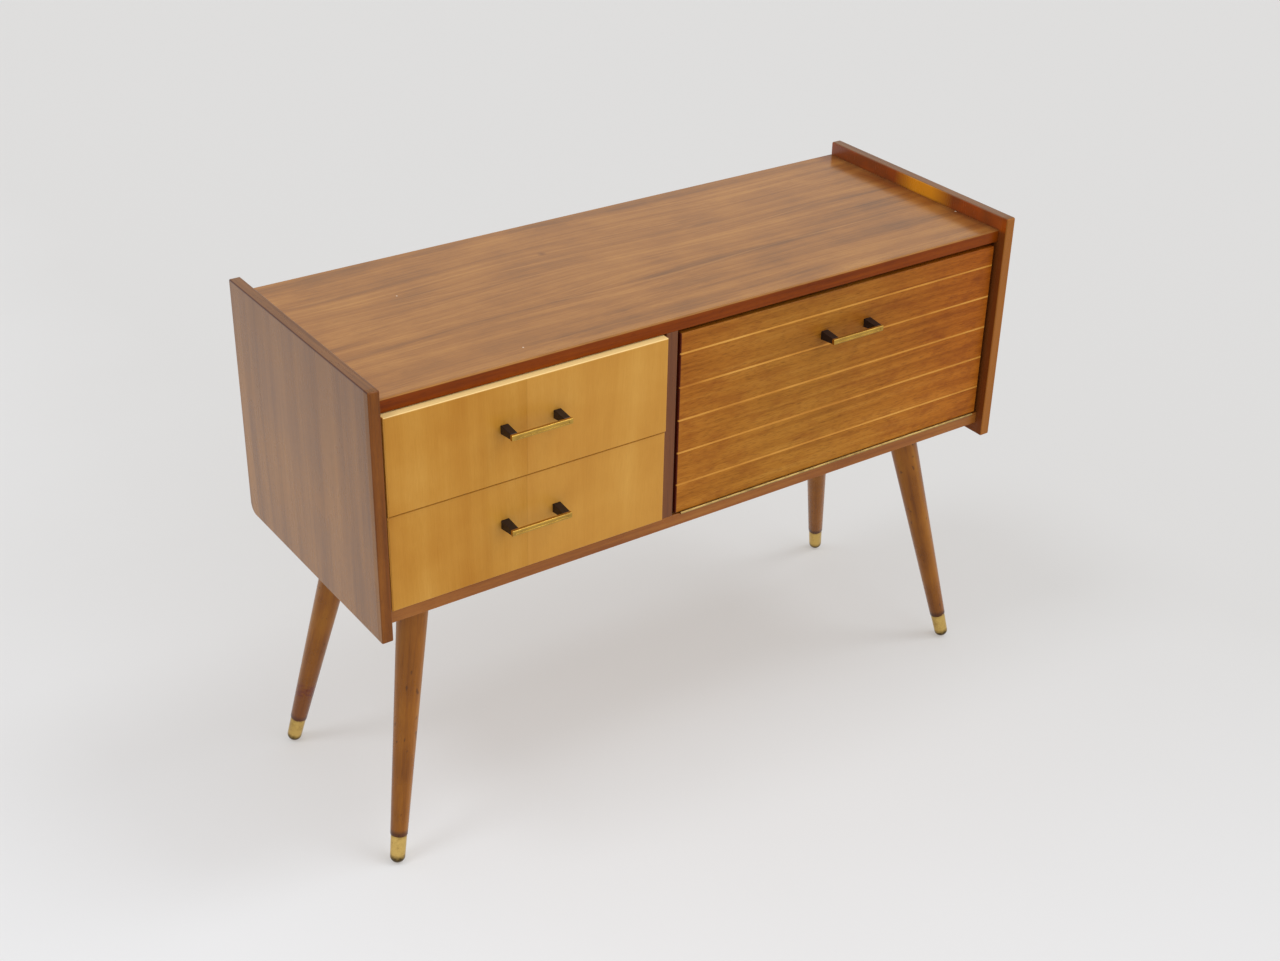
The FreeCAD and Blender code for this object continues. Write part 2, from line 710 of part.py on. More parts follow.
# Drawers: dovetailed sides grooved for the runners, a housed back and a thin bottom let into grooves
for level, (z_drawer, y_face) in drawer_places.items():
    y_shoulder = y_face + drawer_front_thickness
    z_box = z_drawer + drawer_side_lift
    z_box_top = z_box + drawer_box_height
    z_board = z_box + drawer_bottom_lift
    z_inside = z_board + drawer_bottom_thickness
    x_left_inside = drawer_left + drawer_side_thickness
    x_right_inside = drawer_right - drawer_side_thickness
    bottom_reach = (
        x_left_inside - drawer_bottom_groove,
        x_right_inside + drawer_bottom_groove,
        y_shoulder - drawer_bottom_groove,
    )
    bottom = block(*bottom_reach, y_drawer_end, z_board, z_inside)
    fit = drawer_bottom_clearance
    bottom_slot = block(
        bottom_reach[0] - fit,
        bottom_reach[1] + fit,
        bottom_reach[2] - fit,
        y_drawer_end,
        z_board - fit,
        z_inside + fit,
    )
    back = block(
        x_left_inside - drawer_back_housing,
        x_right_inside + drawer_back_housing,
        y_drawer_end - drawer_back_thickness,
        y_drawer_end,
        z_inside + fit,
        z_box_top - drawer_back_drop,
    )
    z_runner = z_box + drawer_box_height / 2
    groove_half = runner_height / 2 + runner_clearance
    x_right_groove = drawer_right - runner_groove_depth
    sides = {"left": (drawer_left, drawer_left), "right": (x_right_inside, x_right_groove)}
    all_tails = []
    for name, (x_side, x_groove) in sides.items():
        tails = dovetails(x_side, y_shoulder, z_box)
        all_tails += tails
        board = block(x_side, x_side + drawer_side_thickness, y_shoulder, y_drawer_end, z_box, z_box_top)
        groove = block(
            x_groove,
            x_groove + runner_groove_depth,
            y_shoulder,
            y_drawer_end,
            z_runner - groove_half,
            z_runner + groove_half,
        )
        side = board.fuse(tails).cut([groove, bottom_slot, back])
        pieces[level + "_drawer_" + name + "_side"] = side.removeSplitter()
    z_handle = z_drawer + drawer_front_height / 2 + drawer_handle_rise
    x_handle = drawer_middle + drawer_handle_shift
    handle_holes = add_handle(level, x_handle, y_face, z_handle, drawer_front_thickness)
    front = block(drawer_left, drawer_right, y_face, y_shoulder, z_drawer, z_drawer + drawer_front_height)
    front = break_edges(front, drawer_edge_chamfer, y_face)
    pieces[level + "_drawer_front"] = front.cut(all_tails + [bottom_slot] + handle_holes)
    pieces[level + "_drawer_back"] = back
    pieces[level + "_drawer_bottom"] = bottom

# Flap: a board with five light lines let into its face, hung on the moving leaf of the hinge
flap = block(x_flap_left, x_flap_right, y_front, y_flap_inner, z_flap_low, z_flap_high)
flap = break_edges(flap, flap_edge_chamfer, y_front)
inlays = []
for index in range(inlay_count):
    z = z_flap_low + inlay_lowest + index * inlay_pitch
    z_range = (z - inlay_width / 2, z + inlay_width / 2)
    inlays.append(block(x_flap_left, x_flap_right, y_front, y_front + inlay_depth, *z_range))
z_flap_handle = z_flap_high - flap_handle_drop
x_flap_handle = x_flap_middle + flap_handle_shift
flap_handle_holes = add_handle("flap", x_flap_handle, y_front, z_flap_handle, flap_thickness)
pieces["flap_inlays"] = [inlay.common(flap).cut(flap_handle_holes) for inlay in inlays]
pieces["flap_panel"] = flap.cut(inlays + hinge_screw_holes["moving"] + flap_handle_holes)

# Catch: strike plate on the flap, and a housing under the top that holds a magnet between two pole plates
y_strike = y_flap_inner + strike_thickness
z_strike = z_flap_high - strike_top_inset
x_strike = x_flap_middle - strike_width / 2
pieces["strike_plate"] = block(
    x_strike, x_strike + strike_width, y_flap_inner, y_strike, z_strike - strike_height, z_strike
)
y_pole = y_strike + catch_air_gap
y_catch = y_pole + catch_plate_proud
x_catch = x_flap_middle - catch_width / 2
housing_low = Vector(x_catch, y_catch, z_ceiling - catch_height)
housing = Part.makeBox(catch_width, catch_depth, catch_height, housing_low)
pocket_low = housing_low + Vector(catch_wall, 0, catch_wall)
pocket_size = (catch_width - 2 * catch_wall, catch_depth - catch_wall, catch_height - 2 * catch_wall)
pieces["catch_housing"] = housing.cut(Part.makeBox(*pocket_size, pocket_low))
pole_length = catch_plate_proud + pocket_size[1]
pole_low = pocket_low - Vector(0, catch_plate_proud, 0)
magnet_height = pocket_size[2] - 2 * catch_plate_thickness
upper_pole_low = pole_low + Vector(0, 0, catch_plate_thickness + magnet_height)
magnet_low = pocket_low + Vector(0, 0, catch_plate_thickness)
pieces["catch_magnet"] = [
    Part.makeBox(pocket_size[0], pole_length, catch_plate_thickness, pole_low),
    Part.makeBox(pocket_size[0], pocket_size[1], magnet_height, magnet_low),
    Part.makeBox(pocket_size[0], pole_length, catch_plate_thickness, upper_pole_low),
]

# One file for each piece; a list holds the separate solids of a group of like pieces
os.makedirs("parts", exist_ok=True)
for name, piece in pieces.items():
    shape = Part.makeCompound(piece) if isinstance(piece, list) else piece
    shape.exportStep("parts/" + name + ".step")
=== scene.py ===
import math

import bmesh
import bpy
import numpy as np
from mathutils import Matrix, Vector


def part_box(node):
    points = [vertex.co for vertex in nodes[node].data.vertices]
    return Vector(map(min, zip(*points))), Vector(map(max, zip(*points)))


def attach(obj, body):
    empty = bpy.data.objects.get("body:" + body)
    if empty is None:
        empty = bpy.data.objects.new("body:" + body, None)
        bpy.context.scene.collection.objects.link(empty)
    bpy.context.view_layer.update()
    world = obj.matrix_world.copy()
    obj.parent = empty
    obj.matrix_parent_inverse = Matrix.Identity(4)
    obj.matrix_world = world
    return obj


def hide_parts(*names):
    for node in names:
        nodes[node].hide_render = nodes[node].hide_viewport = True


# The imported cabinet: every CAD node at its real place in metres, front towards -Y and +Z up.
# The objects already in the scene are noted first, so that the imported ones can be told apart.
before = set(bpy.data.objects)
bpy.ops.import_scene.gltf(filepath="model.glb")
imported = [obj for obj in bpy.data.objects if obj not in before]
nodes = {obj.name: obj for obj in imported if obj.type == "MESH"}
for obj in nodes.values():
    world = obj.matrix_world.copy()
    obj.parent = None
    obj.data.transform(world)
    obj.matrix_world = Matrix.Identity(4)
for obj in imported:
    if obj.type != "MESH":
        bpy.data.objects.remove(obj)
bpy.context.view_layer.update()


# Side panels: two upright boards of 12 mm, veneered on both faces with straight-grained mahogany.
# The veneer runs upright under a satin varnish, with worn arrises; it is darker towards the top and has
# painted reflections on its inner faces.
# Dowels join them to top and bottom, and a rebate at the back takes the back board.
X, Y, Z = 0, 1, 2
sharp_edge = math.radians(40)
same_point = 0.00001


def srgb(red, green, blue):
    """A colour as it is seen, from 0 to 255, as the linear colour that a shader takes."""
    linear = []
    for value in (red / 255, green / 255, blue / 255):
        linear.append(value / 12.92 if value <= 0.04045 else ((value + 0.055) / 1.055) ** 2.4)
    return (*linear, 1.0)


def times(colour, factor):
    """A colour made darker or paler by one factor."""
    return (*[min(1.0, channel * factor) for channel in colour[:3]], 1.0)


class Socket:
    """An output socket of a node tree; sums and products of sockets add Math nodes."""

    def __init__(self, socket):
        self.socket = socket

    def node(self, kind, settings=None, inputs=None, output=0):
        """Add a node of any type: its settings first, then the values or links of its sockets."""
        tree = self.socket.id_data
        node = tree.nodes.new(kind)
        for name, value in (settings or {}).items():
            if name == "stops":
                ramp = node.color_ramp
                while len(ramp.elements) < len(value):
                    ramp.elements.new(0.5)
                for element, (position, colour) in zip(ramp.elements, value):
                    element.position = position
                    element.color = colour
            else:
                setattr(node, name, value)
        for name, value in (inputs or {}).items():
            for source in value if isinstance(value, list) else [value]:
                if isinstance(source, Socket):
                    tree.links.new(source.socket, node.inputs[name])
                else:
                    node.inputs[name].default_value = source
        return Socket(node.outputs[output])

    def math(self, operation, first, second):
        return self.node("ShaderNodeMath", {"operation": operation}, {0: first, 1: second})

    def __add__(self, other):
        return self.math("ADD", self, other)

    def __radd__(self, other):
        return self.math("ADD", other, self)

    def __sub__(self, other):
        return self.math("SUBTRACT", self, other)

    def __rsub__(self, other):
        return self.math("SUBTRACT", other, self)

    def __mul__(self, other):
        return self.math("MULTIPLY", self, other)

    def __rmul__(self, other):
        return self.math("MULTIPLY", other, self)

    def between(self, low, high):
        """0 below low, 1 above high and an even rise between; turned round where low is above high."""
        inputs = {"Value": self, "From Min": low, "From Max": high}
        return self.node("ShaderNodeMapRange", {"clamp": True}, inputs)

    def tint(self, first, second):
        """A colour between two others, by this value."""
        inputs = {"Factor": self, 6: first, 7: second}
        return self.node("ShaderNodeMix", {"data_type": "RGBA"}, inputs, output=2)

    def multiply(self, colour, other):
        """A colour multiplied by another one, by this value."""
        settings = {"data_type": "RGBA", "blend_type": "MULTIPLY"}
        return self.node("ShaderNodeMix", settings, {"Factor": self, 6: colour, 7: other}, output=2)

    def ramp(self, *stops):
        return self.node("ShaderNodeValToRGB", {"stops": stops}, {"Fac": self})

    def along(self, axis):
        return self.node("ShaderNodeSeparateXYZ", {}, {"Vector": self}, output=axis)

    def near(self, point, radius):
        """1 at a point, falling to 0 at a radius from it."""
        inputs = {0: self, 1: point}
        distance = self.node("ShaderNodeVectorMath", {"operation": "DISTANCE"}, inputs, output=1)
        return distance.between(radius, 0.0)

    def noise(self, scale, detail=2.0, roughness=0.5, output=0):
        """Noise whose features are as long along X, Y and Z as scale says, in metres."""
        dense = tuple(1 / size for size in scale)
        placed = self.node("ShaderNodeMapping", {}, {"Vector": self, "Scale": dense})
        inputs = {"Vector": placed, "Scale": 1.0, "Detail": detail, "Roughness": roughness}
        return self.node("ShaderNodeTexNoise", {}, inputs, output=output)


def new_finish(name, attribute=None):
    """An empty material: its surface shader, and the coordinates that its patterns follow."""
    material = bpy.data.materials.new(name)
    material.use_nodes = True
    tree = material.node_tree
    surface = tree.nodes["Principled BSDF"]
    if attribute:
        source = tree.nodes.new("ShaderNodeAttribute")
        source.attribute_name = attribute
        return material, surface, Socket(source.outputs["Vector"])
    source = tree.nodes.new("ShaderNodeTexCoord")
    return material, surface, Socket(source.outputs["Object"])


def dress(surface, **values):
    """Set or link sockets of a surface shader by name, with underscores for spaces."""
    for name, value in values.items():
        socket = surface.inputs[name.replace("_", " ")]
        if isinstance(value, Socket):
            surface.id_data.links.new(value.socket, socket)
        else:
            socket.default_value = value


def drawn_out(grain, across, along):
    """A feature's size along X, Y and Z, where grain is the axis that the wood's fibres follow."""
    return tuple(along if axis == grain else across for axis in range(3))


def arris(place, reach):
    """1 on edges and corners, within reach of them, and 0 on flat faces."""
    rounded = place.node("ShaderNodeBevel", {"samples": 4}, {"Radius": reach})
    flat = place.node("ShaderNodeNewGeometry", output=1)
    inputs = {0: rounded, 1: flat}
    alike = place.node("ShaderNodeVectorMath", {"operation": "DOT_PRODUCT"}, inputs, 1)
    return alike.between(0.995, 0.85)


def figured(place, grain, tones, figure, drift, contrast, flecks, clouds, lines=0.25, reach=0.3):
    """The drawing of wood along its grain: colour, relief, clouds and short dark pores."""
    dark, middle, pale = tones
    band_length = 130 * reach * figure
    strand_size = drawn_out(grain, 0.0028, reach)
    thread_size = drawn_out(grain, 0.0008, 0.045)
    pore_size = drawn_out(grain, 0.0008, 0.009)
    sway = place.noise(drawn_out(grain, 0.12, 0.45), detail=1.0, output=1)
    bend = {0: sway, 1: (drift, drift, drift), 2: place}
    fibres = place.node("ShaderNodeVectorMath", {"operation": "MULTIPLY_ADD"}, bend)
    bands = fibres.noise(drawn_out(grain, figure, band_length), detail=2.0)
    strands = fibres.noise(strand_size, detail=3.0, roughness=0.6)
    threads = fibres.noise(thread_size, detail=2.0)
    cloud = place.noise((0.07, 0.07, 0.07), detail=3.0)
    pores = fibres.noise(pore_size, detail=1.0).between(0.5, 0.75) * flecks
    mean = 0.5 * (0.65 + lines + clouds)
    tone = bands * 0.5 + strands * lines + threads * 0.15 + cloud * clouds - mean
    colour = (tone * contrast + 0.5).ramp((0.15, dark), (0.5, middle), (0.85, pale))
    colour = pores.tint(colour, times(dark, 0.6))
    return colour, threads * 0.4 + strands * 0.3 - pores, cloud, pores


def wood(name, grain, tones, rough, gloss, attribute=None, touch=None, **drawing):
    """Varnished wood, with paler arrises where hands have rubbed it."""
    material, surface, place = new_finish(name, attribute)
    colour, relief, cloud, pores = figured(place, grain, tones, **drawing)
    rubbed = arris(place, 0.0014) * cloud.between(0.35, 0.65)
    colour = (rubbed * 0.35).tint(colour, times(tones[2], 1.2))
    if touch:
        colour = touch(place, colour)
    bump = place.node("ShaderNodeBump", {}, {"Strength": 0.15, "Distance": 0.0001, "Height": relief})
    dress(
        surface,
        Base_Color=colour,
        Roughness=rough + (cloud - 0.5) * 0.2 + pores * 0.1 + rubbed * 0.15,
        Normal=bump,
        Specular_IOR_Level=gloss,
    )
    return material


def wear(node_names, material):
    """Give CAD nodes their finish."""
    for name in node_names:
        finishes = nodes[name].data.materials
        finishes.clear()
        finishes.append(material)


def free_edge_tree():
    """Mark the sharp edges that may be broken: all but those of a glued joint at one place along Y."""
    joint_slack = 0.00003
    tree = bpy.data.node_groups.new("free edges", "GeometryNodeTree")
    tree.interface.new_socket("Board", in_out="INPUT", socket_type="NodeSocketGeometry")
    tree.interface.new_socket("Joint", in_out="INPUT", socket_type="NodeSocketFloat")
    tree.interface.new_socket("Marked", in_out="OUTPUT", socket_type="NodeSocketGeometry")
    entry = tree.nodes.new("NodeGroupInput")
    given = {socket.name: Socket(socket) for socket in entry.outputs if socket.name}
    board = given["Board"]
    place = board.node("GeometryNodeInputPosition")
    sharp = board.math("GREATER_THAN", board.node("GeometryNodeInputMeshEdgeAngle"), sharp_edge)
    off_joint = place.along(Y) - given["Joint"]
    free = board.math("GREATER_THAN", off_joint * off_joint, joint_slack**2)
    marked = board.node("GeometryNodeStoreNamedAttribute", {"data_type": "FLOAT", "domain": "EDGE"}, {
        "Geometry": board,
        "Name": "bevel_weight_edge",
        "Value": sharp * free,
    })
    result = tree.nodes.new("NodeGroupOutput")
    tree.links.new(marked.socket, result.inputs["Marked"])
    return tree


free_edges = free_edge_tree()


def soften(node_names, width, sharpest=sharp_edge, segments=2, joint=None):
    """Break the sharp edges of CAD nodes a little, but not those of a glued joint."""
    for name in node_names:
        weld = nodes[name].modifiers.new("weld", "WELD")
        weld.merge_threshold = same_point
        flat = nodes[name].modifiers.new("flat", "DECIMATE")
        flat.decimate_type = "DISSOLVE"
        flat.angle_limit = math.radians(1)
        if joint is not None:
            marks = nodes[name].modifiers.new("free edges", "NODES")
            marks.node_group = free_edges
            marks[free_edges.interface.items_tree["Joint"].identifier] = joint
        bevel = nodes[name].modifiers.new("edges", "BEVEL")
        bevel.width = width
        bevel.segments = segments
        bevel.limit_method = "ANGLE" if joint is None else "WEIGHT"
        bevel.angle_limit = sharpest
        bevel.use_clamp_overlap = joint is None
        bevel.harden_normals = True


side_tones = (srgb(111, 70, 33), srgb(151, 101, 49), srgb(175, 122, 63))
z_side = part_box("left_side_panel")[1][2]
x_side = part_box("right_side_panel")[1][0]
x_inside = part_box("right_side_panel")[0][0]
y_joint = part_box("left_side_panel")[0][1]
z_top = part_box("top_panel")[1][2]
z_darker = 0.4
worn_edge = 0.0012
# Where the painted golden reflection sits: on the right side's inner face, just above the top's right
# end.
painted_golden_reflection = (x_inside, -0.004, z_top + 0.007)


def from_middle(place):
    """How far a point lies to the left or the right of the cabinet's middle."""
    return place.node("ShaderNodeMath", {"operation": "ABSOLUTE"}, {0: place.along(X)})


def painted_inner_reflections(place, colour):
    """Painted reflections on the faces that look inwards: darker red all over, mottled orange above the
    top, and a golden highlight beside the top's right end.
    """
    inner = from_middle(place).between(x_inside + 0.0016, x_inside + 0.0006)
    colour = (inner * 0.8).tint(colour, srgb(112, 50, 14))
    above = inner * place.along(Z).between(z_top - 0.002, z_top + 0.002)
    reflection_mottle = place.noise((0.02, 0.03, 0.02), detail=2.0).between(0.35, 0.65)
    colour = (above * (reflection_mottle * 0.5 + 0.3)).tint(colour, srgb(176, 78, 8))
    patch = place.near(painted_golden_reflection, 0.05).between(0.0, 0.7) * above
    return (patch * 0.9).tint(colour, srgb(250, 166, 26))


def side_edges(place, colour):
    """Darker towards the top, painted reflections on the inner faces, a veneer strip along each upper
    edge, and its glue line.
    """
    height = place.along(Z)
    colour = (height.between(z_darker, z_side) * 0.45).tint(colour, srgb(112, 68, 28))
    # Painted reflections on the inner faces.
    colour = painted_inner_reflections(place, colour)
    edge_tones = (srgb(88, 52, 22), srgb(124, 80, 38), srgb(146, 98, 50))
    strip = figured(
        place, Y, edge_tones, figure=0.004, drift=0.004, contrast=1.4, flecks=0.3, clouds=0.2
    )[0]
    colour = height.between(z_side - 0.0007, z_side - 0.0002).tint(colour, strip)
    glue = from_middle(place).between(x_side - 0.0012, x_side - 0.0006)
    glue = glue * height.between(z_side - 0.002, z_side - 0.001)
    return (glue * 0.8).tint(colour, srgb(76, 32, 18))


side_drawing = {"figure": 0.018, "drift": 0.03, "contrast": 1.6, "flecks": 0.25, "clouds": 0.25}
side_wood = wood(
    "side veneer", Z, side_tones, rough=0.26, gloss=0.5, touch=side_edges, **side_drawing
)
sides = ["left_side_panel", "right_side_panel"]
wear(sides, side_wood)
soften(sides, worn_edge, segments=4, joint=y_joint)

# Front lippings of the sides: solid reddish strips of 8 mm glued over the boards' front edges.
# The sides' veneer runs on over them, so only their fronts show, with arrises that hands have paled.
red_tones = (srgb(92, 46, 6), srgb(120, 66, 10), srgb(142, 84, 18))
y_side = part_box("left_side_lipping")[0][1]


def lipped_front(place, colour):
    """The side's veneer all round, and the bare wood of the strip at the front."""
    strip = figured(
        place, Z, red_tones, figure=0.006, drift=0.004, contrast=1.8, flecks=0.3, clouds=0.3
    )[0]
    strip = (place.along(X).between(-0.1, 0.1) * 0.5).tint(strip, srgb(176, 108, 30))
    front = place.along(Y).between(y_side + 0.0016, y_side + 0.0008)
    return front.tint(side_edges(place, colour), strip)


lipping_wood = wood(
    "side lipping", Z, side_tones, rough=0.28, gloss=0.22, touch=lipped_front, **side_drawing
)
side_lippings = ["left_side_lipping", "right_side_lipping"]
wear(side_lippings, lipping_wood)
soften(side_lippings, worn_edge, segments=4, joint=y_joint)


# Top and bottom: veneered boards dowelled between the sides, with the grain along the cabinet.
# The top's veneer has dark lengthwise streaks, and years of use have left a chip, specks and a stain.
# It runs on over the thin reddish strip that covers the top's front edge.
def top_marks(place, colour):
    """Thin pale lines, a painted reflection of the right side beside it, a chip and two pale specks, and
    one dark spot in the varnish.
    """
    sway = place.noise((0.5, 0.1, 0.1), detail=1.0, output=1)
    bend = {0: sway, 1: (0.05, 0.05, 0.05), 2: place}
    swept = place.node("ShaderNodeVectorMath", {"operation": "MULTIPLY_ADD"}, bend)
    pale_lines = swept.noise((1.2, 0.004, 0.004), detail=0.0).between(0.7, 0.8)
    colour = (pale_lines * 0.35).tint(colour, srgb(190, 134, 70))
    # Painted reflection: the right side's dark reflection darkens the top next to it.
    beside = place.along(X).between(x_inside - 0.032, x_inside - 0.012)
    beside = beside * (place.noise((0.03, 0.05, 0.03), detail=1.0).between(0.3, 0.6) * 0.6 + 0.4)
    colour = (beside * 0.7).tint(colour, srgb(112, 50, 10))
    chip, first_speck, second_speck = (0.386, -0.062), (-0.261, 0.066), (-0.216, -0.105)
    for (x, y), radius in ((chip, 0.0016), (first_speck, 0.0011), (second_speck, 0.0012)):
        mark = place.near((x, y, z_top), radius).between(0.1, 0.5)
        colour = mark.tint(colour, srgb(226, 208, 184))
    dark_spot = (-0.079, 0.081, z_top)
    return (place.near(dark_spot, 0.006) * 0.5).tint(colour, srgb(74, 34, 20))


def lipped_edge(place, colour):
    """The top's veneer above, and the bare front of the strip below it."""
    strip = figured(place, X, top_strip_tones, **strip_drawing)[0]
    below = place.along(Z).between(z_top - 0.0004, z_top - 0.001)
    return below.tint(top_marks(place, colour), strip)


strip_drawing = {"figure": 0.006, "drift": 0.004, "contrast": 1.6, "flecks": 0.3, "clouds": 0.2}
top_strip_tones = (srgb(94, 36, 2), srgb(124, 54, 3), srgb(142, 68, 6))
top_tones = (srgb(123, 82, 43), srgb(162, 108, 51), srgb(186, 131, 65))
top_drawing = {
    "figure": 0.014, "drift": 0.05, "contrast": 1.9,
    "flecks": 0.2, "clouds": 0.3, "lines": 0.28, "reach": 0.9,
}
top_wood = wood("top veneer", X, top_tones, rough=0.2, gloss=0.5, touch=top_marks, **top_drawing)
wear(["top_panel", "bottom_panel"], top_wood)
y_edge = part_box("top_panel")[0][1]
soften(["top_panel"], 0.0004, joint=y_edge)
soften(["bottom_panel"], 0.0004)
edge_wood = wood("top edge", X, top_tones, rough=0.3, gloss=0.1, touch=lipped_edge, **top_drawing)
bottom_tones = (srgb(116, 58, 18), srgb(148, 88, 32), srgb(164, 106, 44))
bottom_edge_wood = wood(
    "bottom edge", X, bottom_tones, rough=0.3, gloss=0.25, **strip_drawing
)
wear(["top_lipping"], edge_wood)
wear(["bottom_lipping"], bottom_edge_wood)
soften(["top_lipping"], 0.0005, joint=y_edge)
soften(["bottom_lipping"], 0.0005)

# Partition: an upright board between drawers and flap, veneered like the sides.
# It is dowelled to top and bottom, and a thin reddish strip covers its front edge, darkened with painted
# shade where it sits back between drawers and flap.
wear(["partition"], side_wood)
# The strip's reddish tones, made darker as painted shade of its recess.
partition_tones_with_shade = (srgb(84, 40, 12), srgb(110, 60, 20), srgb(128, 78, 30))
partition_edge_wood = wood(
    "partition edge", Z, partition_tones_with_shade, rough=0.3, gloss=0.35, **strip_drawing
)
wear(["partition_lipping"], partition_edge_wood)
soften(["partition", "partition_lipping"], 0.0005)

# Back board: thin plywood in the rebates of sides, top and bottom.
# It was never varnished, so it is pale, dry and a little stained.
ply_tones = (srgb(150, 108, 66), srgb(180, 138, 92), srgb(200, 162, 116))
ply = wood(
    "bare plywood", X, ply_tones, rough=0.65, gloss=0.2,
    figure=0.03, drift=0.05, contrast=1.6, flecks=0.25, clouds=0.4,
)
wear(["back_panel"], ply)
soften(["back_panel"], 0.0003)

# Dowels and runner battens: plain beech; the dowels are glued into the joints of the carcass.
# The battens are screwed to the left side and to the partition, and the drawers' grooves slide on them.
beech_tones = (srgb(176, 128, 80), srgb(202, 156, 106), srgb(216, 176, 128))
beech_drawing = {"figure": 0.012, "drift": 0.01, "contrast": 1.4, "flecks": 0.4, "clouds": 0.2}
beech = wood("beech along", Y, beech_tones, rough=0.6, gloss=0.25, **beech_drawing)
levels, hands = ("upper", "lower"), ("left", "right")
runners = [level + "_" + hand + "_runner" for level in levels for hand in hands]
wear(["panel_dowels"] + runners, beech)
soften(runners, 0.0005)


# Screws: turned steel and brass ones with a slot across the head, all driven by hand.
# Each stands where its CAD solid is, with its slot turned at random.
even_grain = (0.0015, 0.0015, 0.0015)


def metal(name, colour, tarnish, rough, spots, brushed=even_grain, attribute=None, touch=None):
    """Metal with a fine brushed sheen, and duller stains where it has tarnished."""
    material, surface, place = new_finish(name, attribute)
    cloud = place.noise((0.015, 0.015, 0.015), detail=4.0, roughness=0.6)
    fine = place.noise(brushed, detail=3.0)
    stain = (cloud * 0.65 + fine * 0.35).between(0.46, 0.68) * spots
    shine = stain.tint(colour, tarnish)
    if touch:
        shine = touch(place, shine)
    dress(
        surface,
        Base_Color=shine,
        Metallic=1.0 - stain * 0.3,
        Roughness=rough + stain * 0.25 + (fine - 0.5) * 0.15,
    )
    return material


def loose_parts(node):
    """The vertices of each separate solid in a CAD node."""
    mesh = bmesh.new()
    mesh.from_mesh(nodes[node].data)
    bmesh.ops.remove_doubles(mesh, verts=mesh.verts, dist=same_point)
    waiting = set(mesh.verts)
    parts = []
    while waiting:
        found = [waiting.pop()]
        for vert in found:
            for edge in vert.link_edges:
                other = edge.other_vert(vert)
                if other in waiting:
                    waiting.remove(other)
                    found.append(other)
        parts.append([vert.co.copy() for vert in found])
    mesh.free()
    return parts


def head_of(points):
    """Where a screw's head ends and which way it faces: its wide end, along its longest side."""
    end_depth = 0.0025
    low = Vector([min(point[axis] for point in points) for axis in range(3)])
    high = Vector([max(point[axis] for point in points) for axis in range(3)])
    axis = max(range(3), key=lambda index: high[index] - low[index])
    middle = (low + high) / 2
    facing = Vector((0, 0, 0))
    widths = {}
    for sign, end in ((-1, low[axis]), (1, high[axis])):
        near = [p for p in points if abs(p[axis] - end) < end_depth]
        widths[sign] = max((p - middle)[side] for p in near for side in range(3) if side != axis)
    facing[axis] = max(widths, key=widths.get)
    middle[axis] = high[axis] if facing[axis] > 0 else low[axis]
    return middle, facing


